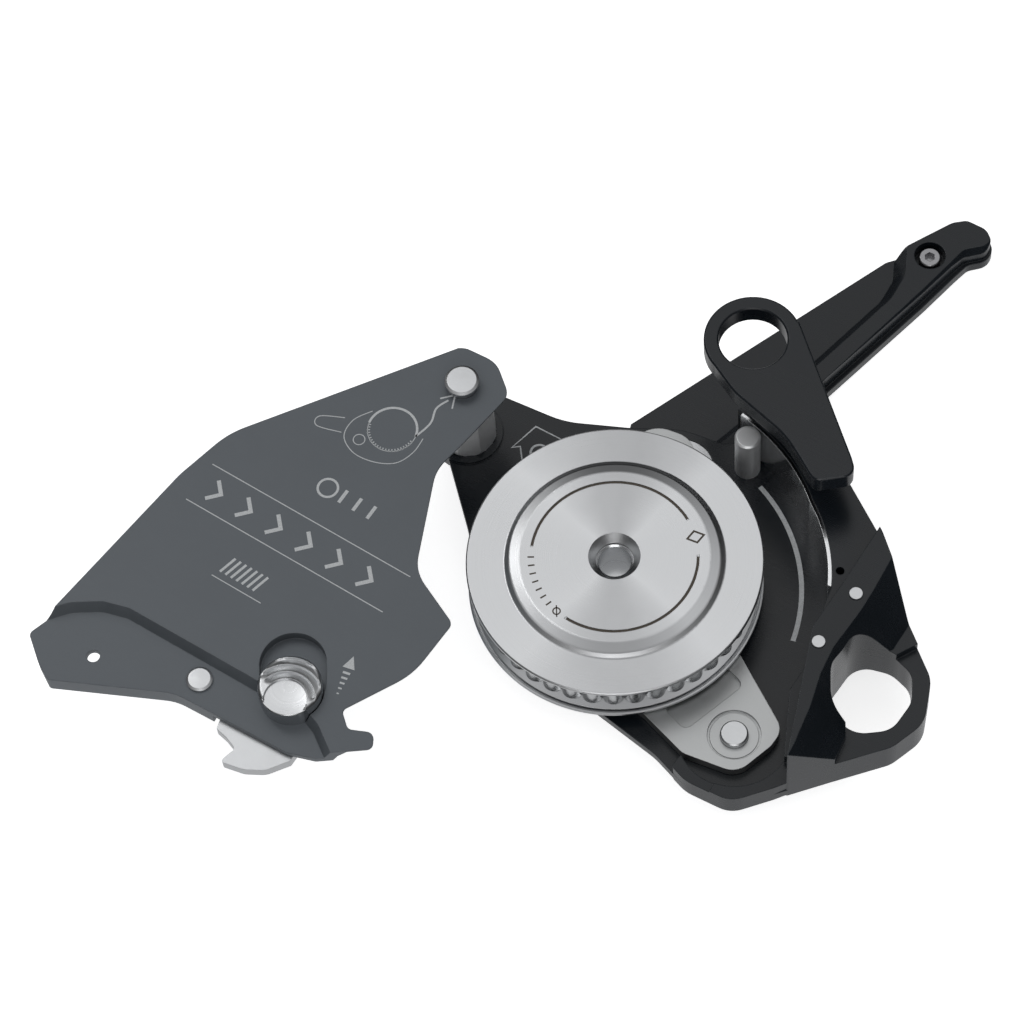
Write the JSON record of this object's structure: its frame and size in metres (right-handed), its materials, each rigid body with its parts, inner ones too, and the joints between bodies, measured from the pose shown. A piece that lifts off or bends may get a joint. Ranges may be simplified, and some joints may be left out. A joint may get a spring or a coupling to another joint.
{
  "type": "rope clutch",
  "caption": "Self-braking rope pulley: a ridged sheave runs in a black housing with anchor eye, becket eye, swing-open front plate with a thumb latch, and a control handle.",
  "frame": {"origin": "axis of the anchor eye, on the flat back face of the housing", "axes": "+X from the sheave axle to the anchor eye, +Y towards the becket eye, +Z out of the front of the device along the sheave axle"},
  "size_m": [0.2459, 0.2872, 0.054],
  "materials": {
    "black_anodised": "black hard-anodised aluminium, satin, with brighter worn edges",
    "gunmetal": "grey anodised plate, satin bead-blasted",
    "stainless": "stainless steel, turned and brushed, satin",
    "carrier_grey": "plain aluminium, bead-blasted",
    "bright_steel": "polished stainless steel",
    "bronze": "plain bearing bronze, hidden inside",
    "screw_steel": "zinc-flaked screw steel"
  },
  "bodies": {
    "housing": {"housing": "black_anodised", "brake_insert": "bright_steel", "rope_post": "bright_steel", "keeper_pin_upper": "stainless", "keeper_pin_lower": "stainless", "carrier_pivot_pin": "stainless", "hinge_post": "bright_steel", "hinge_rivet": "stainless", "handle_thrust_washer": "bronze"},
    "carrier": {"carrier_plate": "carrier_grey", "carrier_bush": "carrier_grey", "sheave_axle": "stainless", "axle_sleeve": "stainless", "clutch_hub": "stainless", "clutch_roller_1": "stainless", "clutch_roller_2": "stainless", "clutch_roller_3": "stainless", "clutch_roller_4": "stainless", "clutch_roller_5": "stainless", "clutch_roller_6": "stainless", "clutch_roller_7": "stainless", "clutch_roller_8": "stainless"},
    "sheave": {"sheave_front_flange": "stainless", "sheave_rear_flange": "stainless", "sheave_tread": "stainless", "clutch_race": "stainless", "sheave_bush_rear": "bronze", "sheave_bush_front": "bronze"},
    "front_plate": {"front_plate": "gunmetal", "latch_rivet": "stainless"},
    "latch": {"latch_hook": "stainless", "thumb_button": "stainless"},
    "handle": {"control_handle": "black_anodised", "handle_screw": "screw_steel", "handle_shaft": "stainless", "handle_bolt": "screw_steel"}
  },
  "joints": [
    {"name": "plate_hinge", "type": "hinge", "parent": "housing", "child": "front_plate", "pos_m": [-0.1528, 0.0271, 0.0347], "axis": [0, 0, 1], "range_deg": [-20, 90]},
    {"name": "latch_pivot", "type": "hinge", "parent": "front_plate", "child": "latch", "pos_m": [-0.175, -0.0944, 0.0265], "axis": [0, 0, 1], "range_deg": [0, 18], "stiffness_Nm_per_rad": 0.15, "springref_deg": -20.05},
    {"name": "handle_pivot", "type": "hinge", "parent": "housing", "child": "handle", "pos_m": [-0.088, 0.046, 0], "axis": [0, 0, 1], "range_deg": [-80, 0]},
    {"name": "carrier_swing", "type": "hinge", "parent": "housing", "child": "carrier", "pos_m": [-0.031, -0.0286, 0.006], "axis": [0, 0, 1], "range_deg": [-3.9, 0.1]},
    {"name": "sheave_spin", "type": "hinge", "parent": "carrier", "child": "sheave", "pos_m": [-0.086, 0, 0.016], "axis": [0, 0, 1], "continuous": true}
  ],
  "couplings": [
    {"joint": "carrier_swing", "follows": "handle_pivot", "ratio": 0.048}
  ]
}
